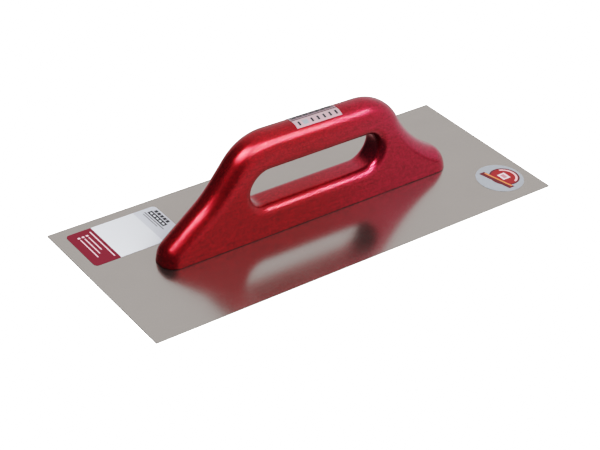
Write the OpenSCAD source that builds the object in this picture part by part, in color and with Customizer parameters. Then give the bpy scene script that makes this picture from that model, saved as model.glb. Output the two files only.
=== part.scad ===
/* [Blade] */
// Length of the blade
blade_l = 320; // [300:1:400]
// Width of the blade
blade_w = 130; // [110:1:160]
// Thickness of the blade sheet
blade_t = 0.7; // [0.5:0.1:1]
// Radius left on the deburred corners of the blade
blade_corner_r = 0.6; // [0.2:0.1:3]

/* [Handle] */
// Thickness of the handle board
handle_thk = 22.7; // [22:0.1:26]
// Radius routed along the outer edges of the handle
edge_r = 10.6; // [6:0.1:10.8]
// Distance from the middle of the blade to the front end of the handle's foot
foot_front = 117; // [115:0.1:122]
// Distance from the middle of the blade to the back end of the handle's foot
foot_back = 116.3; // [115:0.1:122]
// Height of the grip's top above the blade, where it meets the front slope
grip_front_h = 74.1; // [72:0.1:80]
// Height of the grip's top above the blade, where it meets the back slope
grip_back_h = 72.5; // [72:0.1:80]
// Radius of the two shoulders, seen from the side
shoulder_r = 36.5; // [30:0.5:40]

/* [Hand opening] */
// Length of the hand opening
opening_l = 104.9; // [90:0.1:106]
// Height of the hand opening
opening_h = 26.8; // [25:0.1:28]
// Height of the opening's lower edge above the blade
opening_z = 22.3; // [21:0.1:24]
// Radius routed along the edges of the opening
opening_edge_r = 6.5; // [3:0.1:7]

/* [Screws] */
// Distance of the inner screws from the middle of the blade
screw_inner_x = 30; // [20:1:35]
// Distance of the outer screws from the middle of the blade
screw_outer_x = 92; // [85:1:96]
// Outer diameter of the screw thread
screw_d = 3.5; // [3:0.1:4]
// Diameter of the screw head
screw_head_d = 7; // [6.5:0.1:8]
// Length of a screw over its head
screw_l = 16; // [12:1:16]

/* [Stickers] */
// Thickness of the sticker paper and film
sticker_t = 0.12; // [0.08:0.01:0.2]
// Length of the rectangular sticker on the blade
blade_label_l = 67.5; // [50:0.5:70]
// Width of the rectangular sticker on the blade
blade_label_w = 38.2; // [30:0.1:40]
// Diameter of the round sticker on the blade
round_label_d = 33.5; // [25:0.5:36]
// Length of the sticker on the grip
grip_label_l = 36; // [25:1:50]

/* [Hidden] */
$fn = 96;

lap = 0.8;            // how far a routed edge reaches back into the cut it belongs to
facet_l = 3.6;        // longest straight step along the handle's round outline
edge_steps = 10;      // steps in a quarter turn of the handle's routed edge
over = 1;             // how far a cutter runs past the face it opens
half_thk = handle_thk / 2;

// Handle outline seen from the side, counter-clockwise: [x, height above the blade, corner radius]
outline = [
    [foot_back, 0, 0],
    [113.9, 12.3, 23],
    [81.3, 31.7, 102],
    [56.8, grip_back_h, shoulder_r],
    [-55.9, grip_front_h, shoulder_r],
    [-82.4, 38, 80],
    [-115.6, 9.6, 14],
    [-foot_front, 0, 0]
];

// The hand opening has fully round ends; end_slack leaves its end arcs short of meeting
end_slack = 0.01;
opening_mid = -0.7;
opening = box_outline(opening_l, opening_h, opening_h / 2 - end_slack,
                      [opening_mid, opening_z + opening_h / 2]);

// Countersunk screws: each 45 degree head is drawn into a dimple of the sheet
head_r = screw_head_d / 2;
shank_r = screw_d / 2;
core_r = shank_r * 0.68;
hole_r = shank_r + 0.1;
dimple_h = 1.7;
head_sink = 0.05;
shank_l = 5;
tip_l = 3;
thread_pitch = 1.6;
screw_x = [-screw_outer_x, -screw_inner_x, screw_inner_x, screw_outer_x];

blade_label_pos = [-117.2, 38.6];
blade_label_r = 3;
round_label_pos = [137, -39.6];
grip_label_x = -0.2;
grip_label_y = 6.9;     // how far it reaches down each side of the crown

// ---- outlines with round corners ----

function unit(v) = v / norm(v);
function xy(p) = [p.x, p.y];
function angle_of(v) = atan2(v.y, v.x);
function box_outline(l, w, r, mid = [0, 0]) =
    [for (s = [[-1, -1], [1, -1], [1, 1], [-1, 1]]) [mid.x + s.x * l / 2, mid.y + s.y * w / 2, r]];

// The arc that rounds corner i of outline P: [centre, radius, start angle, sweep, side, entry, exit].
// side is 1 on an outer corner and -1 on an inner one.
function arc(P, i) =
    let (n = len(P),
         b = xy(P[i]),
         r = P[i][2],
         u = unit(xy(P[(i + n - 1) % n]) - b),
         v = unit(xy(P[(i + 1) % n]) - b),
         half = acos(u * v) / 2,
         side = u.x * v.y < u.y * v.x ? 1 : -1,
         c = b + unit(u + v) * r / sin(half),
         entry = b + u * r / tan(half),
         exit = b + v * r / tan(half))
    [c, r, angle_of((side > 0 ? entry : exit) - c), 180 - 2 * half, side, entry, exit];

// Points along corner i of outline P once it is moved inwards: an even run round an arc,
// or one point that stays on the foot where the corner is sharp
function corner_points(P, i, inset) =
    let (a = arc(P, i), steps = ceil(max(a[3] / 6, a[1] * a[3] * PI / 180 / facet_l)))
    a[1] == 0 ? [a[0] - [sign(a[0].x) * inset / sin(a[3]), 0]]
              : [for (k = [0 : steps])
                    let (t = a[2] + a[3] * (a[4] > 0 ? k : steps - k) / steps)
                    a[0] + (a[1] - a[4] * inset) * [cos(t), sin(t)]];

// Slice of a round disc, from angle a0 over sweep
module slice(r, a0, sweep) {
    intersection() {
        circle(r);
        polygon([[0, 0],
                 for (k = [0 : 2]) 2 * r * [cos(a0 + k * sweep / 2), sin(a0 + k * sweep / 2)]]);
    }
}

// Outline P, which has no inner corners, with its corners rounded
module rounded(P) {
    arcs = [for (i = [0 : len(P) - 1]) arc(P, i)];
    polygon([for (a = arcs) each [a[5], a[6]]]);
    for (a = arcs) translate(a[0]) slice(a[1], a[2], a[3]);
}

// Stands a side view upright: its x along the blade, its y up, centred on the blade's width
module upright(thk) {
    rotate([90, 0, 0]) linear_extrude(thk, center = true) children();
}

// Carries a profile round outline P, upright. In the profile, x points out of the outline.
module carried_round(P) {
    for (i = [0 : len(P) - 1]) {
        a = arc(P, i);
        run = arc(P, (i + 1) % len(P))[5] - a[6];
        if (norm(run) > 3 * end_slack)
            translate([a[6].x, 0, a[6].y]) rotate([0, 90 - angle_of(run), 0])
                linear_extrude(norm(run)) children();
        translate([a[0].x, 0, a[0].y]) rotate([90, 0, 0]) rotate(a[2])
            rotate_extrude(angle = a[3]) translate([a[1], 0]) children();
    }
}

// ---- blade ----

module at_screws() {
    for (x = screw_x) translate([x, 0, 0]) children();
}

// The dimple's outside, which follows the head's cone one sheet thickness away
module dimple() {
    r = head_r + blade_t * sqrt(2);
    cylinder(h = dimple_h, r1 = r, r2 = r - dimple_h);
}

module blade() {
    seat_h = head_r - hole_r;
    color([0.68, 0.67, 0.65]) difference() {
        union() {
            linear_extrude(blade_t) rounded(box_outline(blade_l, blade_w, blade_corner_r));
            at_screws() dimple();
        }
        at_screws() {
            translate([0, 0, -over]) cylinder(h = over + seat_h, r1 = head_r + over, r2 = hole_r);
            cylinder(h = dimple_h + over, r = hole_r);
        }
    }
}

// ---- handle ----

// What a round-over bit takes off both edges of the opening
module opening_edge_profile() {
    r = opening_edge_r;
    for (s = [0, 1]) mirror([0, s]) translate([0, half_thk - r]) difference() {
        translate([-lap, 0]) square([r + lap, r + over]);
        translate([r, 0]) circle(r);
    }
}

// The board with its outer edges routed round: rings of the outline, from one flat face to the other.
// Each ring is moved in as the router's radius asks, and a fan from a middle point closes each face.
module handle_blank() {
    levels = [for (side = [-1, 1], k = [0 : edge_steps])
                  let (t = 90 * (side < 0 ? edge_steps - k : k) / edge_steps)
                  [edge_r * (1 - cos(t)), side * (half_thk - edge_r + edge_r * sin(t))]];
    rings = [for (l = levels)
                 [for (i = [0 : len(outline) - 1], p = corner_points(outline, i, l[0])) [p.x, l[1], p.y]]];
    n = len(rings[0]);
    last = (len(rings) - 1) * n;
    near_mid = last + n;
    far_mid = near_mid + 1;
    polyhedron(
        points = [for (r = rings) each r, [0, -half_thk, opening_z / 2], [0, half_thk, opening_z / 2]],
        faces = [
            for (k = [0 : len(rings) - 2], i = [0 : n - 1])
                [k * n + i, (k + 1) * n + i, (k + 1) * n + (i + 1) % n, k * n + (i + 1) % n],
            for (i = [0 : n - 1]) [near_mid, i, (i + 1) % n],
            for (i = [0 : n - 1]) [far_mid, last + (i + 1) % n, last + i]
        ]);
}

module screw_bores() {
    at_screws() {
        dimple();
        cylinder(h = screw_l - tip_l, r = shank_r);
        translate([0, 0, screw_l - tip_l]) cylinder(h = tip_l, r1 = shank_r, r2 = 0);
    }
}

module handle() {
    color([0.62, 0.1, 0.14]) difference() {
        translate([0, 0, blade_t]) handle_blank();
        translate([0, 0, blade_t]) {
            upright(handle_thk + 2 * over) rounded(opening);
            carried_round(opening) opening_edge_profile();
        }
        screw_bores();
    }
}

// ---- screws ----

module cross_recess() {
    for (a = [0, 90]) rotate(a) translate([-1.9, -0.45, 0]) cube([3.8, 0.9, 1.1]);
    cylinder(h = 1.4, r = 0.9);
}

module screw() {
    rings = floor((screw_l - tip_l - shank_l) / thread_pitch);
    color([0.78, 0.78, 0.8]) difference() {
        rotate_extrude() polygon([
            [0, head_sink],
            [head_r - head_sink, head_sink],
            [shank_r, head_r - shank_r],
            [shank_r, shank_l],
            for (k = [0 : rings - 1]) each [
                [core_r, shank_l + (k + 0.25) * thread_pitch],
                [core_r, shank_l + (k + 0.6) * thread_pitch],
                [shank_r, shank_l + (k + 1) * thread_pitch]
            ],
            [core_r, screw_l - tip_l],
            [0, screw_l]
        ]);
        cross_recess();
    }
}

// ---- stickers ----

module blade_label() {
    color([0.86, 0.88, 0.9]) translate([0, 0, blade_t]) linear_extrude(sticker_t)
        rounded(box_outline(blade_label_l, blade_label_w, blade_label_r, blade_label_pos));
}

module round_label() {
    color([0.8, 0.82, 0.85])
        translate([round_label_pos.x, round_label_pos.y, blade_t]) cylinder(h = sticker_t, d = round_label_d);
}

// A board's edge seen along the grip, half_thk to each side of its middle and edge_r round
module crown_profile(grow = 0) {
    for (s = [-1, 1]) translate([-edge_r, s * (half_thk - edge_r)]) circle(edge_r + grow);
    translate([-edge_r, edge_r - half_thk]) square([edge_r + grow, handle_thk - 2 * edge_r]);
}

// A strip bent over the grip's crown
module grip_label() {
    top_start = [outline[3].x, outline[3].y];
    top_end = [outline[4].x, outline[4].y];
    fall = angle_of(top_end - top_start) - 180;
    mid = top_start + (top_end - top_start) * (grip_label_x - top_start.x) / (top_end.x - top_start.x);
    color([0.8, 0.74, 0.76]) translate([mid.x, 0, blade_t + mid.y]) rotate([0, -fall - 90, 0])
        linear_extrude(grip_label_l, center = true) intersection() {
            difference() {
                crown_profile(sticker_t);
                crown_profile();
            }
            translate([-edge_r, -grip_label_y]) square([2 * edge_r, 2 * grip_label_y]);
        }
}

blade();
handle();
for (i = [0 : len(screw_x) - 1])
    translate([screw_x[i], 0, 0]) screw();
blade_label();
round_label();
grip_label();
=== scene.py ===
"""A stainless steel plastering trowel with a closed wooden handle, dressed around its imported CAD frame."""
import math

import bmesh
import bpy
from mathutils import Matrix, Quaternion, Vector


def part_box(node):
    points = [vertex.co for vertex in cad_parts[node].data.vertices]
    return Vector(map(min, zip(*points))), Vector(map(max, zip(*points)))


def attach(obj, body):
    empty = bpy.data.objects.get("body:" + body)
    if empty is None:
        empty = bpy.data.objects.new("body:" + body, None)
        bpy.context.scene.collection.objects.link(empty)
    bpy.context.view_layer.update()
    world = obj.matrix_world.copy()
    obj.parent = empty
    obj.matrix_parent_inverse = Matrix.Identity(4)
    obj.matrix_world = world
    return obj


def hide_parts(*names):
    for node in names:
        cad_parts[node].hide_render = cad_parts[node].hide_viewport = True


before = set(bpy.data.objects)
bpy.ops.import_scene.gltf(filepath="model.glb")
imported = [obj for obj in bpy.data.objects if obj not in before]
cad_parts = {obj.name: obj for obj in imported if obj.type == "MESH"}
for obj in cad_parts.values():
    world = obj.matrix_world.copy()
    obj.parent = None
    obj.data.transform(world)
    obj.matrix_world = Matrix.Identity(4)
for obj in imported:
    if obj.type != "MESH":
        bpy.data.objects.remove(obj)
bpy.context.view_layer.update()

bl_info = {
    "name": "Plastering trowel",
    "version": (1, 0, 0),
    "blender": (4, 5, 0),
    "location": "3D View > Sidebar > Trowel",
    "description": "Builds and finishes a steel plastering trowel with a red lacquered wooden handle",
    "category": "Add Mesh",
}

MM = 0.001
BODY = "root"
SCREWS = [name for name in sorted(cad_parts) if name.startswith("screw_")]

HANDLE_LOW, HANDLE_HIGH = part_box("handle")
LABEL_LOW, LABEL_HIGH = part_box("blade_label")
SEAL_LOW, SEAL_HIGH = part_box("round_label")
BAND_LOW, BAND_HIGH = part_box("grip_label")
FOOT_Z = HANDLE_LOW.z
PAPER_T = LABEL_HIGH.z - LABEL_LOW.z

# The map that the grip sticker's printing follows, and the grid that the sticker is bent from
STRIP_MAP = "strip"
STRIP_ROWS, STRIP_COLUMNS = 37, 33


def linear(hex_colour):
    """Turns an sRGB hex colour, such as "#a01e28", into linear red, green, blue and alpha 1."""
    channels = [int(hex_colour[i:i + 2], 16) / 255 for i in (1, 3, 5)]
    return [c / 12.92 if c <= 0.04045 else ((c + 0.055) / 1.055) ** 2.4 for c in channels] + [1.0]


def colour_property(name, description, hex_colour):
    return bpy.props.FloatVectorProperty(
        name=name, description=description, subtype="COLOR", size=4, min=0, max=1, default=linear(hex_colour))


def length_property(name, description, millimetres):
    return bpy.props.FloatProperty(
        name=name, description=description, unit="LENGTH", min=0, precision=5, default=millimetres * MM)


# ---------------------------------------------------------------- settings

class TrowelSizes(bpy.types.PropertyGroup):
    """Sizes of the pieces that are built here rather than taken from the CAD frame."""
    edge_radius: length_property("Edge radius", "Radius routed along the handle's outer edges", 10.6)
    opening_radius: length_property("Opening edge radius", "Radius routed along the hand opening", 6.5)
    opening_length: length_property("Opening length", "Length of the hand opening", 104.9)
    opening_height: length_property("Opening height", "Height of the hand opening", 26.8)
    opening_rise: length_property("Opening rise", "Height of the opening's lower edge above the blade", 22.3)
    opening_shift: length_property("Opening shift", "How far the opening lies towards the front", 0.7)
    mesh_step: length_property("Mesh step", "Longest step along the handle's round outlines", 1.5)
    edge_steps: bpy.props.IntProperty(
        name="Edge steps", description="Faces across a quarter turn of the routed edge",
        min=4, max=32, default=14)


class TrowelFinish(bpy.types.PropertyGroup):
    """Colours and the sizes of surface patterns."""
    lacquer: colour_property("Lacquer", "Red metallic lacquer where it is thick", "#bf1a2b")
    # painted reflection tint laid over the back end, standing in for a cool light caught in the lacquer
    lacquer_painted_back_tint: colour_property("Lacquer, back end", "The lacquer's cooler red at the back end", "#cf3053")
    flake: length_property("Flake size", "Width of a visible cluster of metal flakes", 0.85)
    steel: colour_property("Steel", "Ground stainless steel", "#e4dcd6")
    grinding: length_property("Grinding mark width", "Width of a visible grinding mark on the blade", 0.35)
    paper: colour_property("Label paper", "Coated white label paper", "#dfe3ea")
    label_ink: colour_property("Label ink", "Dark red ink of the label's end panel", "#720c28")
    dark_ink: colour_property("Dark ink", "Near-black printing ink", "#2b2a30")
    seal_red: colour_property("Seal red", "Red of the round sticker's rosette", "#98090f")
    ribbon_gold: colour_property("Ribbon gold", "Orange gold of the ribbon's upper edge", "#e8824a")
    foil: colour_property("Foil", "Silver foil of the grip sticker", "#cdb1b8")


class TrowelStudio(bpy.types.PropertyGroup):
    """Camera and floor."""
    azimuth: bpy.props.FloatProperty(
        name="Azimuth", description="Camera's turn about the vertical", subtype="ANGLE",
        default=math.radians(-37.71))
    elevation: bpy.props.FloatProperty(
        name="Elevation", description="Camera's angle above the horizon", subtype="ANGLE",
        default=math.radians(34.25))
    roll: bpy.props.FloatProperty(
        name="Roll", description="Camera's turn about its own axis", subtype="ANGLE",
        default=math.radians(3.14))
    distance: bpy.props.FloatProperty(
        name="Distance", description="From the camera to the plane through the aim point", unit="LENGTH",
        default=1.0435)
    lens: bpy.props.FloatProperty(name="Lens", description="Focal length in millimetres", default=94.24)
    floor: colour_property("Floor", "Plain pale floor", "#fafafa")


def settings():
    return bpy.context.scene.trowel_sizes, bpy.context.scene.trowel_finish, bpy.context.scene.trowel_studio


# ---------------------------------------------------------------- handle outline

# The handle seen from the side, counter-clockwise: x along the blade, height above the blade, corner
# radius, in millimetres.
OUTLINE = [
    (116.3, 0, 0),
    (113.9, 12.3, 23),
    (81.3, 31.7, 102),
    (56.8, 72.5, 36.5),
    (-55.9, 74.1, 36.5),
    (-82.4, 38, 80),
    (-115.6, 9.6, 14),
    (-117, 0, 0),
]

FLAT_RIM = 0.4              # width of the first strip of each flat face, which keeps its shading flat
END_SLACK = 0.01            # leaves the opening's end arcs short of meeting
SHARP = math.radians(35)    # edges that turn more than this stay crisp


class Corner:
    """One corner of a closed outline, and the arc that rounds it."""

    def __init__(self, corners, index):
        before, here, after = (Vector(corners[(index + k) % len(corners)][:2]) for k in (-1, 0, 1))
        self.radius = corners[index][2]
        back, on = (before - here).normalized(), (after - here).normalized()
        half = back.angle(on) / 2
        self.outer = back.x * on.y < back.y * on.x
        self.point = here
        self.lean = 2 * half
        self.sweep = math.pi - 2 * half
        self.centre = here + (back + on).normalized() * self.radius / math.sin(half)
        start = here + back * self.radius / math.tan(half) - self.centre
        self.start = math.atan2(start.y, start.x)

    def points(self, inset, step):
        """Points along the arc once the outline is moved inwards; a sharp corner slides along the foot."""
        if self.radius == 0:
            return [self.point - Vector((math.copysign(inset / math.sin(self.lean), self.point.x), 0))]
        count = max(2, math.ceil(self.radius * self.sweep / step))
        side = 1 if self.outer else -1
        reach = self.radius - side * inset
        turns = [self.start + side * self.sweep * k / count for k in range(count + 1)]
        return [self.centre + reach * Vector((math.cos(t), math.sin(t))) for t in turns]


def outline_loop(corners, inset, step):
    return [p for i in range(len(corners)) for p in Corner(corners, i).points(inset, step)]


def opening_corners(sizes):
    """The hand opening: a slot with fully round ends."""
    middle = -sizes.opening_shift / MM
    reach, height = sizes.opening_length / MM / 2, sizes.opening_height / MM
    low = sizes.opening_rise / MM
    radius = height / 2 - END_SLACK
    return [(middle - reach, low, radius), (middle + reach, low, radius),
            (middle + reach, low + height, radius), (middle - reach, low + height, radius)]


def edge_levels(radius, half, steps):
    """Inset and depth of each loop from one flat face over the routed edge to the other, in millimetres.
    The first and last lie on the flat faces, so that those shade flat."""
    near = [(radius * (1 - math.cos(t)), -(half - radius + radius * math.sin(t)))
            for t in (math.pi / 2 * (steps - k) / steps for k in range(steps + 1))]
    return [(radius + FLAT_RIM, -half), *near, *[(i, -y) for i, y in reversed(near)],
            (radius + FLAT_RIM, half)]


def add_loops(mesh, corners, levels, step, side):
    """Adds one closed loop of vertices for each level, joined to the next by faces."""
    loops = []
    for inset, depth in levels:
        points = outline_loop(corners, side * inset, step)
        loops.append([mesh.verts.new((p.x * MM, depth * MM, p.y * MM + FOOT_Z)) for p in points])
    for a, b in zip(loops, loops[1:]):
        for i in range(len(a)):
            j = (i + 1) % len(a)
            mesh.faces.new((a[i], a[j], b[j], b[i]))
    return loops


def close_flat(mesh, outer, inner):
    """Fills the flat face between the outline and the opening."""
    edges = [mesh.edges.get((ring[i], ring[(i + 1) % len(ring)])) for ring in (outer, inner)
             for i in range(len(ring))]
    bmesh.ops.triangle_fill(mesh, edges=edges, use_beauty=True, use_dissolve=False)


def build_handle(sizes):
    half = (HANDLE_HIGH.y - HANDLE_LOW.y) / 2 / MM
    step = sizes.mesh_step / MM
    board_edge = edge_levels(sizes.edge_radius / MM, half, sizes.edge_steps)
    opening_edge = edge_levels(sizes.opening_radius / MM, half, sizes.edge_steps // 2)
    mesh = bmesh.new()
    outer = add_loops(mesh, OUTLINE, board_edge, step, 1)
    inner = add_loops(mesh, opening_corners(sizes), opening_edge, step, -1)
    close_flat(mesh, outer[0], inner[0])
    close_flat(mesh, outer[-1], inner[-1])
    bmesh.ops.recalc_face_normals(mesh, faces=mesh.faces)
    for edge in mesh.edges:
        edge.smooth = edge.calc_face_angle(0) < SHARP
    for face in mesh.faces:
        face.smooth = True
    return mesh


def mesh_from(mesh, name, material):
    """Turns a bmesh into a finished mesh with its material."""
    data = bpy.data.meshes.new(name)
    mesh.to_mesh(data)
    mesh.free()
    data.materials.append(material)
    return data


def place_piece(data, node):
    """Puts a finished mesh in the scene in place of a CAD node: it rides on the one body."""
    piece = bpy.data.objects.new(data.name, data)
    bpy.context.scene.collection.objects.link(piece)
    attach(piece, BODY)
    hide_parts(node)


# ---------------------------------------------------------------- materials

def add(tree, kind, links=None, **values):
    """Adds a node, sets its properties, and fills its inputs from numbers, colours, sockets, or other
    nodes, which give their first output."""
    node = tree.nodes.new(kind)
    for name, value in values.items():
        setattr(node, name, value)
    for socket, source in (links or {}).items():
        if isinstance(source, bpy.types.Node):
            source = source.outputs[0]
        if isinstance(source, bpy.types.NodeSocket):
            tree.links.new(source, node.inputs[socket])
        else:
            node.inputs[socket].default_value = source
    return node


def new_material(name):
    """Returns a material with an empty node tree, and the tree."""
    material = bpy.data.materials.new(name)
    material.use_nodes = True
    material.node_tree.nodes.clear()
    return material, material.node_tree


def lacquered_beech(finish):
    """Beech board under red metallic lacquer and a clear coat, sprayed and satin polished: deep red that
    glitters finely, with the grain's long pores just showing, and a soft gloss on top. The flakes are
    drawn coarser than they are, so that they show."""
    material, tree = new_material("red_metallic_lacquer_on_beech")
    place = add(tree, "ShaderNodeTexCoord").outputs["Object"]
    along = add(tree, "ShaderNodeSeparateXYZ", {0: place})
    # painted reflection tint: the red turns cooler and bluer towards the back end, standing in for a cool
    # light caught in the lacquer
    painted_tint_blend = add(tree, "ShaderNodeMapRange", {0: along.outputs["X"], 1: -20 * MM, 2: 90 * MM, 3: 0.0, 4: 1.0},
                interpolation_type="SMOOTHSTEP")
    red = add(tree, "ShaderNodeMix", {0: painted_tint_blend, 6: finish.lacquer, 7: finish.lacquer_painted_back_tint},
              data_type="RGBA")
    # clusters of flakes, each leaning and shining its own way
    flakes = add(tree, "ShaderNodeTexVoronoi",
                 {"Vector": place, "Scale": 1 / finish.flake, "Randomness": 1.0})
    shade = add(tree, "ShaderNodeSeparateColor", {0: flakes.outputs["Color"]})
    # open pores of the wood, drawn out along the board
    stretch = add(tree, "ShaderNodeMapping", {"Vector": place, "Scale": (1 / 9, 1.0, 1.0)})
    grain = add(tree, "ShaderNodeTexNoise", {"Vector": stretch, "Scale": 1 / (1.1 * MM), "Detail": 3.0})
    glitter = add(tree, "ShaderNodeMapRange", {0: shade, 1: 0.0, 2: 1.0, 3: 0.74, 4: 1.26})
    pores = add(tree, "ShaderNodeMapRange", {0: grain, 1: 0.3, 2: 0.7, 3: 0.84, 4: 1.14})
    level = add(tree, "ShaderNodeMath", {0: glitter, 1: pores}, operation="MULTIPLY")
    colour = add(tree, "ShaderNodeVectorMath", {0: red.outputs[2], "Scale": level}, operation="SCALE")
    # painted shade: the colour darkens along the foot, where the handle meets the blade
    foot = add(tree, "ShaderNodeMapRange",
               {0: along.outputs["Z"], 1: FOOT_Z + 0.2 * MM, 2: FOOT_Z + 1.1 * MM, 3: 0.3, 4: 1.0})
    shaded = add(tree, "ShaderNodeVectorMath", {0: colour, "Scale": foot}, operation="SCALE")
    relief = add(tree, "ShaderNodeMath", {0: shade.outputs[1], 1: 0.6, 2: grain},
                 operation="MULTIPLY_ADD")
    bump = add(tree, "ShaderNodeBump", {"Height": relief, "Strength": 0.3, "Distance": 0.05 * MM})
    shader = add(tree, "ShaderNodeBsdfPrincipled",
                 {"Base Color": shaded, "Normal": bump, "Metallic": 0.9, "Roughness": 0.27,
                  "Coat Weight": 0.92, "Coat Roughness": 0.2})
    add(tree, "ShaderNodeOutputMaterial", {"Surface": shader})
    return material


def ground_stainless(finish):
    """Cold-rolled stainless sheet, finely ground along its length: a hazy mirror, warm grey, with fine
    parallel marks that blur what it reflects. It is a little less than fully metallic, because the
    grinding scatters some light as haze."""
    material, tree = new_material("ground_stainless_steel")
    place = add(tree, "ShaderNodeTexCoord").outputs["Object"]
    stretch = add(tree, "ShaderNodeMapping", {"Vector": place, "Scale": (1 / 60, 1.0, 1.0)})
    marks = add(tree, "ShaderNodeTexNoise",
                {"Vector": stretch, "Scale": 1 / finish.grinding, "Detail": 4.0, "Roughness": 0.7})
    cloud = add(tree, "ShaderNodeTexNoise", {"Vector": place, "Scale": 1 / (35 * MM), "Detail": 3.0})
    tone = add(tree, "ShaderNodeMath", {0: cloud, 1: 0.6, 2: marks}, operation="MULTIPLY_ADD")
    level = add(tree, "ShaderNodeMapRange", {0: tone, 1: 0.5, 2: 1.1, 3: 0.96, 4: 1.04})
    colour = add(tree, "ShaderNodeVectorMath", {0: finish.steel[:3], "Scale": level}, operation="SCALE")
    rough = add(tree, "ShaderNodeMapRange", {0: tone, 1: 0.5, 2: 1.1, 3: 0.16, 4: 0.22})
    bump = add(tree, "ShaderNodeBump", {"Height": marks, "Strength": 0.06, "Distance": 0.02 * MM})
    shader = add(tree, "ShaderNodeBsdfPrincipled",
                 {"Base Color": colour, "Roughness": rough, "Normal": bump, "Metallic": 0.85})
    add(tree, "ShaderNodeOutputMaterial", {"Surface": shader})
    return material


def zinc_plated_steel():
    """Bright zinc plating on steel screws: a bluish silver, a little cloudy from the plating bath."""
    material, tree = new_material("bright_zinc_plating")
    place = add(tree, "ShaderNodeTexCoord").outputs["Object"]
    cloud = add(tree, "ShaderNodeTexNoise", {"Vector": place, "Scale": 1 / (1.2 * MM), "Detail": 4.0})
    tint = add(tree, "ShaderNodeMix", {0: cloud, 6: linear("#b9bdc6"), 7: linear("#d8d6cf")},
               data_type="RGBA")
    rough = add(tree, "ShaderNodeMapRange", {0: cloud, 1: 0.3, 2: 0.7, 3: 0.22, 4: 0.38})
    shader = add(tree, "ShaderNodeBsdfPrincipled",
                 {"Base Color": tint.outputs[2], "Roughness": rough, "Metallic": 1.0})
    add(tree, "ShaderNodeOutputMaterial", {"Surface": shader})
    return material


class Print:
    """Flat printing on a label, placed and sized in millimetres from the label's middle. Each mark is
    laid over what is already there."""

    def __init__(self, tree, x, y, ground):
        self.tree, self.x, self.y, self.colour = tree, x, y, ground

    def mask_bar(self, x, y, length, height):
        """1 inside a bar centred on x, y, and 0 outside."""
        across = add(self.tree, "ShaderNodeMath", {0: self.x, 1: x, 2: length / 2}, operation="COMPARE")
        up = add(self.tree, "ShaderNodeMath", {0: self.y, 1: y, 2: height / 2}, operation="COMPARE")
        both = add(self.tree, "ShaderNodeMath", {0: across, 1: up}, operation="MULTIPLY")
        return both.outputs[0]

    def mask_ring(self, x, y, outer, inner=0.0):
        """1 between two radii about x, y."""
        at = add(self.tree, "ShaderNodeCombineXYZ", {0: self.x, 1: self.y})
        far = add(self.tree, "ShaderNodeVectorMath", {0: at, 1: (x, y, 0)}, operation="DISTANCE")
        ring = add(self.tree, "ShaderNodeMath",
                   {0: far.outputs[1], 1: (outer + inner) / 2, 2: (outer - inner) / 2}, operation="COMPARE")
        return ring.outputs[0]

    def lay(self, mask, ink):
        """Prints ink where mask is 1."""
        mix = add(self.tree, "ShaderNodeMix", {0: mask, 6: self.colour, 7: ink}, data_type="RGBA")
        self.colour = mix.outputs[2]

    def bar(self, x, y, length, height, ink):
        self.lay(self.mask_bar(x, y, length, height), ink)


def printed_paper(finish):
    """Coated label paper, offset printed: a dark red end panel with pale rules, a blank field, and a
    block of dark rules at the far end, under a thin satin varnish."""
    material, tree = new_material("printed_label_paper")
    centre = (LABEL_LOW + LABEL_HIGH) / 2
    place = add(tree, "ShaderNodeTexCoord").outputs["Object"]
    local = add(tree, "ShaderNodeMapping",
                {"Vector": place, "Location": -centre / MM, "Scale": (1 / MM,) * 3})
    axes = add(tree, "ShaderNodeSeparateXYZ", {0: local})
    fibre = add(tree, "ShaderNodeTexNoise", {"Vector": local, "Scale": 2.2, "Detail": 3.0})
    tone = add(tree, "ShaderNodeMapRange", {0: fibre, 1: 0.3, 2: 0.7, 3: 0.97, 4: 1.02})
    ground = add(tree, "ShaderNodeVectorMath", {0: finish.paper[:3], "Scale": tone}, operation="SCALE")
    label = Print(tree, axes.outputs["X"], axes.outputs["Y"], ground.outputs[0])
    pale = linear("#f3c9d2")
    label.bar(-24.4, 0, 18.8, 60, finish.label_ink)
    label.bar(-17.6, 0, 0.9, 31, pale)
    for row, reach in ((-21.2, 16.0), (-24.2, 19.0), (-27.2, 22.0)):
        label.bar(row, 12.6, 1.7, 1.7, pale)
        label.bar(row, 10.6 - reach / 2, 0.8, reach, pale)
    label.bar(25.4, 0, 17.0, 60, linear("#c9ccd4"))
    for k in range(5):
        label.bar(31.2, 12.6 - 3.4 * k, 2.4, 2.6, finish.dark_ink)
    label.bar(27.4, 5.4, 3.6, 19, finish.dark_ink)
    for k in range(5):
        label.bar(27.4, 12.4 - 3.5 * k, 1.3, 2.3, finish.paper)
    label.bar(24.2, 4.4, 0.6, 23, finish.dark_ink)
    label.bar(22.4, 6.2, 0.5, 17, finish.dark_ink)
    shader = add(tree, "ShaderNodeBsdfPrincipled",
                 {"Base Color": label.colour, "Roughness": 0.38, "Coat Weight": 0.25, "Coat Roughness": 0.25})
    add(tree, "ShaderNodeOutputMaterial", {"Surface": shader})
    return material


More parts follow.
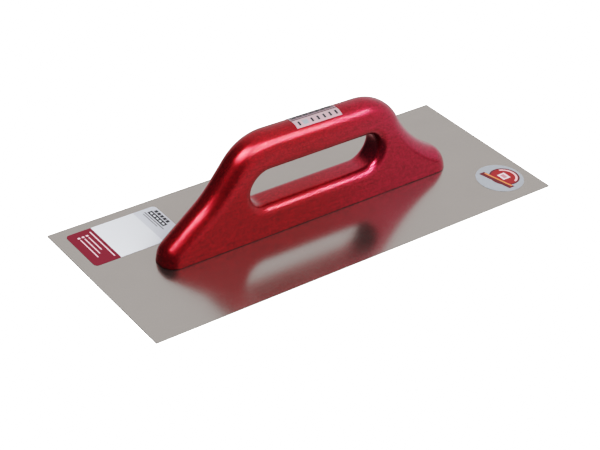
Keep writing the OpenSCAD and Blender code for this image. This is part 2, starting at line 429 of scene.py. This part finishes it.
def printed_film(finish):
    """Clear vinyl sticker with a printed rosette and ribbon: a faint whitish disc, glossy, with a red
    round crossed by a dark red ribbon that has a gold edge."""
    material, tree = new_material("printed_clear_film")
    centre = (SEAL_LOW + SEAL_HIGH) / 2
    place = add(tree, "ShaderNodeTexCoord").outputs["Object"]
    local = add(tree, "ShaderNodeMapping",
                {"Vector": place, "Location": -centre / MM, "Scale": (1 / MM,) * 3})
    axes = add(tree, "ShaderNodeSeparateXYZ", {0: local})
    haze = add(tree, "ShaderNodeTexNoise", {"Vector": local, "Scale": 0.35, "Detail": 2.0})
    ground = add(tree, "ShaderNodeMix", {0: haze, 6: linear("#969ba3"), 7: linear("#a7acb5")},
                 data_type="RGBA")
    seal = Print(tree, axes.outputs["X"], axes.outputs["Y"], ground.outputs[2])
    seal.lay(seal.mask_ring(4, -0.4, 10.6), linear("#5a1420"))
    seal.lay(seal.mask_ring(4, -0.4, 9.4), finish.seal_red)
    end_part = add(tree, "ShaderNodeMath", {0: seal.x, 1: 6.5}, operation="GREATER_THAN")
    arc = add(tree, "ShaderNodeMath", {0: seal.mask_ring(4, -0.4, 9.2, 7.6), 1: end_part},
              operation="MULTIPLY")
    seal.lay(arc, linear("#f0b9bd"))
    seal.bar(4, 0.2, 6.4, 7.0, linear("#e9d3d8"))
    seal.bar(4, 0.2, 3.2, 4.4, linear("#c77f88"))
    # the ribbon crosses at a slant
    seal.x = add(tree, "ShaderNodeMath", {0: seal.y, 1: 0.23, 2: seal.x}, operation="MULTIPLY_ADD")
    seal.bar(-3.8, -0.8, 4.8, 25, linear("#5e0a16"))
    seal.bar(-2.3, -0.8, 1.4, 22, finish.ribbon_gold)
    shader = add(tree, "ShaderNodeBsdfPrincipled",
                 {"Base Color": seal.colour, "Roughness": 0.3, "Coat Weight": 0.6, "Coat Roughness": 0.08})
    add(tree, "ShaderNodeOutputMaterial", {"Surface": shader})
    return material


def printed_foil(finish):
    """Silver foil sticker, screen printed: a pale field with spaced dark blocks, a dark rule along the
    crown, and a greyer field beyond it."""
    material, tree = new_material("printed_silver_foil")
    flat_place = add(tree, "ShaderNodeUVMap", uv_map=STRIP_MAP).outputs[0]
    strip = add(tree, "ShaderNodeMapping", {"Vector": flat_place, "Scale": (1 / MM,) * 3}).outputs[0]
    axes = add(tree, "ShaderNodeSeparateXYZ", {0: strip})
    brush = add(tree, "ShaderNodeTexNoise", {"Vector": strip, "Scale": 3.0, "Detail": 3.0})
    tone = add(tree, "ShaderNodeMapRange", {0: brush, 1: 0.3, 2: 0.7, 3: 0.94, 4: 1.05})
    ground = add(tree, "ShaderNodeVectorMath", {0: finish.foil[:3], "Scale": tone}, operation="SCALE")
    foil = Print(tree, axes.outputs["X"], axes.outputs["Y"], ground.outputs[0])
    foil.bar(0, 4.2, 35, 6.2, linear("#75606a"))
    for k in range(7):
        foil.bar(-14 + 4.6 * k, 3.4, 3.4, 3.0, finish.dark_ink)
    foil.bar(0, 0.3, 36, 0.9, linear("#4a2630"))
    foil.bar(-9.6, -3.9, 4.2, 3.6, linear("#aab0b8"))
    for x in (-14.4, -4.2, 0.6, 5.4, 10.2, 15.0):
        foil.bar(x, -3.9, 1.5, 3.4, finish.dark_ink)
    shader = add(tree, "ShaderNodeBsdfPrincipled",
                 {"Base Color": foil.colour, "Metallic": 0.35, "Roughness": 0.32,
                  "Coat Weight": 0.5, "Coat Roughness": 0.12})
    add(tree, "ShaderNodeOutputMaterial", {"Surface": shader})
    return material


# ---------------------------------------------------------------- grip sticker

def strip_tree():
    """A sticker bent over the grip. A flat grid keeps its length along x, and its width is wrapped over
    the routed crown: flat in the middle, then round at the router's radius. The flat places are kept as
    a map for the printing. Returns the tree and the identifiers of its inputs."""
    tree = bpy.data.node_groups.new("sticker_over_crown", "GeometryNodeTree")
    face = tree.interface
    names = ("Length", "Width", "Middle", "Top", "Slope", "Flat", "Radius", "Thickness")
    keys = {name: face.new_socket(name, in_out="INPUT", socket_type="NodeSocketFloat").identifier
            for name in names}
    keys["Material"] = face.new_socket(
        "Material", in_out="INPUT", socket_type="NodeSocketMaterial").identifier
    face.new_socket("Geometry", in_out="OUTPUT", socket_type="NodeSocketGeometry")
    given = add(tree, "NodeGroupInput").outputs
    grid = add(tree, "GeometryNodeMeshGrid", {"Size X": given["Length"], "Size Y": given["Width"],
                                              "Vertices X": STRIP_ROWS, "Vertices Y": STRIP_COLUMNS})
    place = add(tree, "ShaderNodeSeparateXYZ", {0: add(tree, "GeometryNodeInputPosition")})
    x, y = place.outputs["X"], place.outputs["Y"]
    flat_place = add(tree, "ShaderNodeCombineXYZ", {0: x, 1: y})
    mapped = add(tree, "GeometryNodeStoreNamedAttribute",
                 {"Geometry": grid, "Name": STRIP_MAP, "Value": flat_place},
                 data_type="FLOAT2", domain="CORNER")
    # across: straight as far as the flat, then round by the angle that the length past it wraps
    reach = add(tree, "ShaderNodeMath", {0: y}, operation="ABSOLUTE")
    rest = add(tree, "ShaderNodeMath", {0: reach, 1: given["Flat"]}, operation="SUBTRACT")
    past = add(tree, "ShaderNodeMath", {0: rest, 1: 0.0}, operation="MAXIMUM")
    turn = add(tree, "ShaderNodeMath", {0: past, 1: given["Radius"]}, operation="DIVIDE")
    sine = add(tree, "ShaderNodeMath", {0: turn}, operation="SINE")
    straight = add(tree, "ShaderNodeMath", {0: reach, 1: given["Flat"]}, operation="MINIMUM")
    out = add(tree, "ShaderNodeMath", {0: sine, 1: given["Radius"], 2: straight}, operation="MULTIPLY_ADD")
    side = add(tree, "ShaderNodeMath", {0: y}, operation="SIGN")
    across = add(tree, "ShaderNodeMath", {0: out, 1: side}, operation="MULTIPLY")
    # up: the crown's height there, less what the round has dropped
    along = add(tree, "ShaderNodeMath", {0: x, 1: given["Middle"]}, operation="ADD")
    crown = add(tree, "ShaderNodeMath", {0: along, 1: given["Slope"], 2: given["Top"]},
                operation="MULTIPLY_ADD")
    cosine = add(tree, "ShaderNodeMath", {0: turn}, operation="COSINE")
    versine = add(tree, "ShaderNodeMath", {0: 1.0, 1: cosine}, operation="SUBTRACT")
    drop = add(tree, "ShaderNodeMath", {0: versine, 1: given["Radius"]}, operation="MULTIPLY")
    up = add(tree, "ShaderNodeMath", {0: crown, 1: drop}, operation="SUBTRACT")
    bent_place = add(tree, "ShaderNodeCombineXYZ", {0: along, 1: across, 2: up})
    bent = add(tree, "GeometryNodeSetPosition", {"Geometry": mapped, "Position": bent_place})
    # the printed side and its edges, then the underside turned to face the wood
    upper = add(tree, "GeometryNodeExtrudeMesh",
                {"Mesh": bent, "Offset Scale": given["Thickness"], "Individual": False})
    both = add(tree, "GeometryNodeJoinGeometry", {0: upper})
    tree.links.new(add(tree, "GeometryNodeFlipFaces", {"Mesh": bent}).outputs[0], both.inputs[0])
    closed = add(tree, "GeometryNodeMergeByDistance", {"Geometry": both, "Distance": 0.001 * MM})
    real = add(tree, "GeometryNodeRealizeInstances", {"Geometry": closed})
    done = add(tree, "GeometryNodeSetMaterial", {"Geometry": real, "Material": given["Material"]})
    add(tree, "NodeGroupOutput", {0: done})
    return tree, keys


def grown_mesh(name, tree, keys, values):
    """Runs a geometry tree once with its inputs set, and returns the plain mesh that it makes."""
    seed = bpy.data.objects.new(name, bpy.data.meshes.new(name + "_seed"))
    bpy.context.scene.collection.objects.link(seed)
    modifier = seed.modifiers.new(name, "NODES")
    modifier.node_group = tree
    for key, value in values.items():
        modifier[keys[key]] = value
    graph = bpy.context.evaluated_depsgraph_get()
    data = bpy.data.meshes.new_from_object(seed.evaluated_get(graph), preserve_all_data_layers=True,
                                           depsgraph=graph)
    seed.modifiers.clear()
    bpy.data.objects.remove(seed)
    data.name = name
    data.shade_smooth()
    data.set_sharp_from_angle(angle=SHARP)
    return data


def build_grip_sticker(sizes, finish):
    (back_x, back_top, _), (front_x, front_top, _) = OUTLINE[3:5]
    slope = (front_top - back_top) / (front_x - back_x)
    flat = (HANDLE_HIGH.y - HANDLE_LOW.y) / 2 - sizes.edge_radius
    wrap = math.asin((BAND_HIGH.y - flat) / (sizes.edge_radius + PAPER_T))
    tree, keys = strip_tree()
    return grown_mesh("grip_sticker", tree, keys, {
        "Length": BAND_HIGH.x - BAND_LOW.x,
        "Width": 2 * (flat + wrap * sizes.edge_radius),
        "Middle": (BAND_HIGH.x + BAND_LOW.x) / 2,
        "Top": FOOT_Z + (back_top - slope * back_x) * MM,
        "Slope": slope,
        "Flat": flat,
        "Radius": sizes.edge_radius,
        "Thickness": PAPER_T,
        "Material": printed_foil(finish),
    })


# ---------------------------------------------------------------- operators

class TROWEL_OT_handle(bpy.types.Operator):
    """Builds the lacquered wooden handle"""
    bl_idname = "trowel.handle"
    bl_label = "Handle"

    def execute(self, context):
        sizes, finish, _ = settings()
        data = mesh_from(build_handle(sizes), "wooden_handle", lacquered_beech(finish))
        place_piece(data, "handle")
        return {"FINISHED"}


class TROWEL_OT_blade(bpy.types.Operator):
    """Finishes the steel blade and its screws"""
    bl_idname = "trowel.blade"
    bl_label = "Blade and screws"

    def execute(self, context):
        _, finish, _ = settings()
        dress("blade", ground_stainless(finish))
        zinc = zinc_plated_steel()
        for name in SCREWS:
            dress(name, zinc)
        return {"FINISHED"}


class TROWEL_OT_stickers(bpy.types.Operator):
    """Prints the three stickers"""
    bl_idname = "trowel.stickers"
    bl_label = "Stickers"

    def execute(self, context):
        sizes, finish, _ = settings()
        dress("blade_label", printed_paper(finish))
        dress("round_label", printed_film(finish))
        place_piece(build_grip_sticker(sizes, finish), "grip_label")
        return {"FINISHED"}


def dress(node, material):
    """Gives a CAD node its material in place of the one it came with."""
    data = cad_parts[node].data
    data.materials.clear()
    data.materials.append(material)


# ---------------------------------------------------------------- stage

CAMERA_AIM = Vector((-21.74, 10.3, -7.57)) * MM
CAMERA_SHIFT = (0.0479, -0.0043)
CAMERA_CLIP = (0.05, 50)
FLOOR_REACH = 6.0
FLOOR_GAP = 0.02 * MM       # keeps the floor from sharing the working face's plane
SOFTBOX_DISTANCE = 1.4
BACKDROP = 6.0              # brightness of floor and surroundings as the camera sees them: plain white
DARK_WALL = 0.05            # brightness of the surroundings beyond the front end
PALE_WALL = 0.56            # and from the middle to beyond the back end
WALL_TURN = (-0.42, 0.2)    # where along the blade's direction one turns into the other

# Film response: light from the scene, as a share of FILM_WHITE, against the tone it prints
FILM_WHITE = 4.0
FILM_CURVE = [(0.01, 0.02), (0.025, 0.075), (0.075, 0.3), (0.15, 0.52), (0.25, 0.72), (0.5, 0.92)]


def camera_axes(studio):
    """The camera's right, up and backward directions."""
    a, e, r = studio.azimuth, studio.elevation, studio.roll
    back = Vector((math.sin(a) * math.cos(e), -math.cos(a) * math.cos(e), math.sin(e)))
    level = Vector((math.cos(a), math.sin(a), 0))
    rise = back.cross(level)
    return level * math.cos(r) + rise * math.sin(r), rise * math.cos(r) - level * math.sin(r), back


def make_camera(studio):
    right, up, back = camera_axes(studio)
    data = bpy.data.cameras.new("camera")
    data.sensor_width = 36
    data.lens = studio.lens
    data.shift_x, data.shift_y = CAMERA_SHIFT
    data.clip_start, data.clip_end = CAMERA_CLIP
    camera = bpy.data.objects.new("camera", data)
    bpy.context.scene.collection.objects.link(camera)
    place = Matrix((right, up, back)).transposed().to_4x4()
    place.translation = CAMERA_AIM + back * studio.distance
    camera.matrix_world = place
    bpy.context.scene.camera = camera


def make_floor(studio):
    """A pale floor that shows from above only, and stays out of the gloss on the object."""
    mesh = bmesh.new()
    bmesh.ops.create_grid(mesh, x_segments=1, y_segments=1, size=FLOOR_REACH)
    data = bpy.data.meshes.new("floor")
    mesh.to_mesh(data)
    mesh.free()
    material, tree = new_material("pale_floor")
    matt = add(tree, "ShaderNodeBsdfPrincipled",
               {"Base Color": studio.floor, "Roughness": 1.0, "Specular IOR Level": 0.0})
    seen = add(tree, "ShaderNodeLightPath").outputs["Is Camera Ray"]
    above = add(tree, "ShaderNodeMath", {0: 1.0, 1: add(tree, "ShaderNodeNewGeometry").outputs["Backfacing"]},
                operation="SUBTRACT")
    lit = add(tree, "ShaderNodeMath", {0: seen, 1: above}, operation="MULTIPLY")
    glow = add(tree, "ShaderNodeEmission", {0: studio.floor, 1: BACKDROP})
    clear = add(tree, "ShaderNodeBsdfTransparent")
    one_sided = add(tree, "ShaderNodeMixShader", {0: above, 1: clear, 2: matt})
    mix = add(tree, "ShaderNodeMixShader", {0: lit, 1: one_sided, 2: glow})
    add(tree, "ShaderNodeOutputMaterial", {"Surface": mix})
    data.materials.append(material)
    floor = bpy.data.objects.new("floor", data)
    bpy.context.scene.collection.objects.link(floor)
    floor.location.z = -FLOOR_GAP
    floor.visible_glossy = False


def toward(azimuth, elevation):
    """The direction at azimuth degrees from the front edge towards the back end, and elevation degrees up."""
    a, e = math.radians(azimuth), math.radians(elevation)
    return Vector((math.sin(a) * math.cos(e), -math.cos(a) * math.cos(e), math.sin(e)))


def make_softbox(name, direction, turn, size, radiance):
    """A soft rectangular light that faces the handle from a direction, turned in its own plane."""
    data = bpy.data.lights.new(name, "AREA")
    data.shape = "RECTANGLE"
    data.size, data.size_y = size
    data.energy = radiance * math.pi * size[0] * size[1]
    light = bpy.data.objects.new(name, data)
    bpy.context.scene.collection.objects.link(light)
    light.rotation_mode = "QUATERNION"
    light.rotation_quaternion = direction.to_track_quat("Z", "Y") @ Quaternion((0, 0, 1), math.radians(turn))
    light.location = direction * SOFTBOX_DISTANCE
    return light


def keep_off(lights, node):
    """Flags lights off one body, so that it neither shines nor throws them back at the others."""
    flag = bpy.data.collections.new("flag_" + node)
    flag.objects.link(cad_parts[node])
    flag.collection_objects[0].light_linking.link_state = "EXCLUDE"
    for light in lights:
        light.light_linking.receiver_collection = flag


def make_world():
    """Studio surroundings: pale walls, a dark side towards the front end, plain white to the camera."""
    world = bpy.data.worlds.new("studio")
    bpy.context.scene.world = world
    world.use_nodes = True
    tree = world.node_tree
    tree.nodes.clear()
    place = add(tree, "ShaderNodeTexCoord").outputs["Generated"]
    axes = add(tree, "ShaderNodeSeparateXYZ", {0: place})
    wall = add(tree, "ShaderNodeMapRange",
               {0: axes.outputs["X"], 1: WALL_TURN[0], 2: WALL_TURN[1], 3: DARK_WALL, 4: PALE_WALL},
               interpolation_type="SMOOTHSTEP")
    seen = add(tree, "ShaderNodeLightPath").outputs["Is Camera Ray"]
    level = add(tree, "ShaderNodeMix", {0: seen, 2: wall, 3: BACKDROP}, data_type="FLOAT")
    sky = add(tree, "ShaderNodeBackground", {0: linear("#ffffff"), 1: level})
    add(tree, "ShaderNodeOutputWorld", {0: sky})


def set_film(view):
    """Gives the picture a photographic film's response: deeper shadows and a soft roll into white."""
    view.view_transform = "Standard"
    view.use_curve_mapping = True
    mapping = view.curve_mapping
    mapping.white_level = (FILM_WHITE,) * 3
    for point in FILM_CURVE:
        mapping.curves[3].points.new(*point)
    mapping.update()


class TROWEL_OT_stage(bpy.types.Operator):
    """Sets up the camera, the floor and the studio light"""
    bl_idname = "trowel.stage"
    bl_label = "Stage"

    def execute(self, context):
        _, _, studio = settings()
        make_camera(studio)
        make_floor(studio)
        make_world()
        front = make_softbox("front_softbox", toward(17, 44), turn=-28, size=(1.35, 0.72), radiance=5.4)
        left = make_softbox("left_softbox", toward(-68, 57), turn=0, size=(0.95, 0.65), radiance=8.5)
        # they light what is seen directly, and don't show in what the blade mirrors
        for light in (front, left):
            light.data.cycles.max_bounces = 0
            light.data.cycles.use_multiple_importance_sampling = False
        keep_off((front, left), "blade")
        set_film(context.scene.view_settings)
        return {"FINISHED"}


class TROWEL_PT_panel(bpy.types.Panel):
    """Lists the trowel's operators and settings"""
    bl_idname = "TROWEL_PT_panel"
    bl_label = "Trowel"
    bl_space_type = "VIEW_3D"
    bl_region_type = "UI"
    bl_category = "Trowel"

    def draw(self, context):
        for operator in OPERATORS:
            self.layout.operator(operator.bl_idname)
        for name, group in SETTINGS.items():
            box = self.layout.box()
            for field in group.__annotations__:
                box.prop(getattr(context.scene, name), field)


OPERATORS = (TROWEL_OT_blade, TROWEL_OT_handle, TROWEL_OT_stickers, TROWEL_OT_stage)
SETTINGS = {"trowel_sizes": TrowelSizes, "trowel_finish": TrowelFinish, "trowel_studio": TrowelStudio}


def register():
    for item in (*SETTINGS.values(), *OPERATORS, TROWEL_PT_panel):
        bpy.utils.register_class(item)
    for name, group in SETTINGS.items():
        setattr(bpy.types.Scene, name, bpy.props.PointerProperty(type=group))


def unregister():
    for name in SETTINGS:
        delattr(bpy.types.Scene, name)
    for item in (TROWEL_PT_panel, *reversed(OPERATORS), *reversed(SETTINGS.values())):
        bpy.utils.unregister_class(item)


def main():
    register()
    for step in (bpy.ops.trowel.blade, bpy.ops.trowel.handle, bpy.ops.trowel.stickers, bpy.ops.trowel.stage):
        step()


if __name__ == "__main__":
    main()
